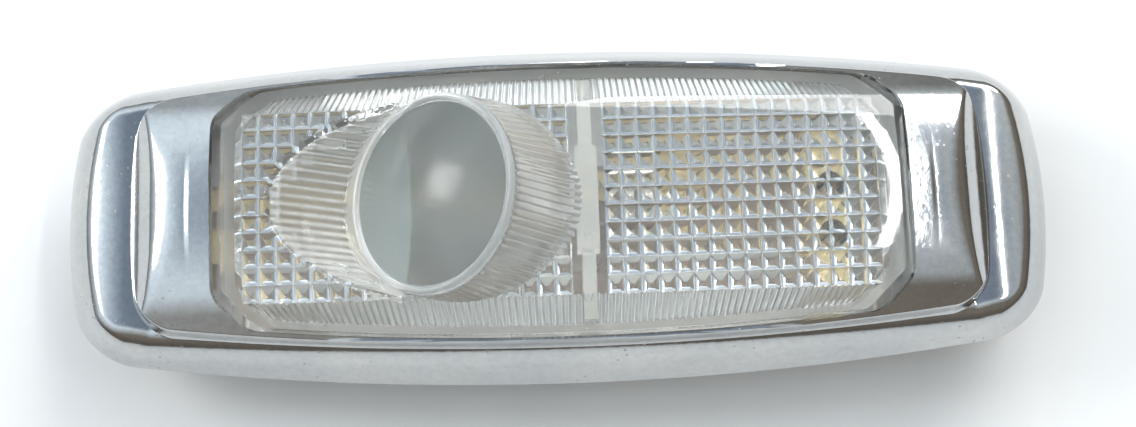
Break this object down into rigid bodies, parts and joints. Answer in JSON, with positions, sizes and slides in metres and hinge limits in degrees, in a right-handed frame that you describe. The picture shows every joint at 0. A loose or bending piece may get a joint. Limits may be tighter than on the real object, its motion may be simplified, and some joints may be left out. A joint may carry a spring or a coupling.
{
  "type": "car courtesy light",
  "caption": "Boat-shaped chrome courtesy lamp with a clear prismatic rocking lens, a tilted bull's-eye for map reading and a festoon bulb in a pressed tray.",
  "frame": {"origin": "middle of the tray's flat back, on the mounting surface", "axes": "+X along the lamp away from the bull's-eye, +Y across it, +Z from the mounting surface to the lens"},
  "size_m": [0.135, 0.047, 0.0349],
  "materials": {
    "chrome_plate": "bright plate with fine pits",
    "clear_acrylic": "clear moulded",
    "zinc_steel": "zinc plated",
    "laminate_board": "paper laminate",
    "brass_strip": "bare brass",
    "bulb_glass": "clear",
    "nickel_cap": "nickel plated",
    "tungsten": "drawn wire"
  },
  "bodies": {
    "housing": {"bezel": "chrome_plate", "base_tray": "zinc_steel", "insulator_strip": "laminate_board", "terminal_feed": "brass_strip", "terminal_door": "brass_strip", "bulb_clip_left": "brass_strip", "bulb_clip_right": "brass_strip", "clip_rivets": "brass_strip", "contact_stud_door": "brass_strip", "contact_stud_earth": "brass_strip", "bulb_glass": "bulb_glass", "bulb_cap_left": "nickel_cap", "bulb_cap_right": "nickel_cap", "bulb_filament": "tungsten", "bezel_screws": "zinc_steel"},
    "lens": {"lens": "clear_acrylic", "contact_bridge": "brass_strip"}
  },
  "joints": [
    {"name": "lens_rock", "type": "hinge", "parent": "housing", "child": "lens", "pos_m": [0.0034, 0, 0.0146], "axis": [0, 1, 0], "range_deg": [-3.5, 3.5]}
  ]
}
